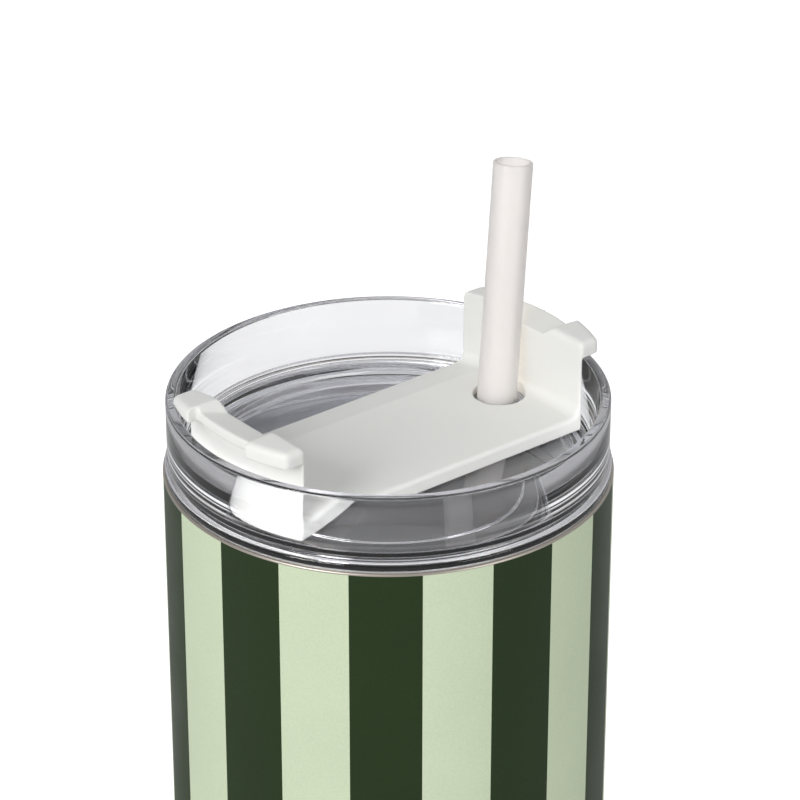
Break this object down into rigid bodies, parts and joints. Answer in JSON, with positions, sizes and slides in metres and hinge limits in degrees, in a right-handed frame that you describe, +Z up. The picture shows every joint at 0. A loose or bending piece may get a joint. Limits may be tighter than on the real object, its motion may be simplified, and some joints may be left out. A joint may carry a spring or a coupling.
{
  "type": "insulated tumbler with lid and straw",
  "caption": "Insulated steel tumbler, straight body over a narrow cup-holder base, clear push-in lid with a rotating cover and a straw.",
  "frame": {"origin": "centre of the base, on the surface the tumbler stands on", "axes": "+Z up along the tumbler's axis; the rotating cover's straw end points to +X +Y, 39 degrees from +X"},
  "size_m": [0.098, 0.098, 0.2546],
  "materials": {
    "painted_shell": "satin powder coat, dark green and pale green vertical stripes",
    "steel": "fine brushed stainless steel",
    "polished_base": "spun stainless steel",
    "copper_foil": "bright copper foil",
    "seal_bead": "dull glass solder",
    "getter_alloy": "pressed metal powder",
    "clear_plastic": "clear polished copolyester",
    "silicone": "translucent silicone",
    "white_plastic": "matte white polypropylene",
    "straw_plastic": "translucent frosted polypropylene"
  },
  "bodies": {
    "tumbler": {"outer_shell": "painted_shell", "inner_liner": "steel", "reflective_foil": "copper_foil", "outer_bottom": "steel", "vacuum_seal": "seal_bead", "base_cap": "polished_base", "getter_holder": "steel", "getter": "getter_alloy"},
    "lid": {"lid_body": "clear_plastic", "lid_gasket": "silicone"},
    "cover": {"cover": "white_plastic", "straw_seal": "silicone", "closure_seal": "silicone", "pivot_seal": "silicone", "pivot_retainer": "white_plastic"},
    "straw": {"straw": "straw_plastic"}
  },
  "joints": [
    {"name": "lid_lift", "type": "slide", "parent": "tumbler", "child": "lid", "axis": [0, 0, 1], "range_m": [0, 0.19]},
    {"name": "cover_turn", "type": "hinge", "parent": "lid", "child": "cover", "pos_m": [0, 0, 0.1982], "axis": [0, 0, 1], "range_deg": [-20, 20]},
    {"name": "straw_lift", "type": "slide", "parent": "cover", "child": "straw", "axis": [0.0586, 0.1493, 0.9871], "range_m": [0, 0.195]}
  ]
}
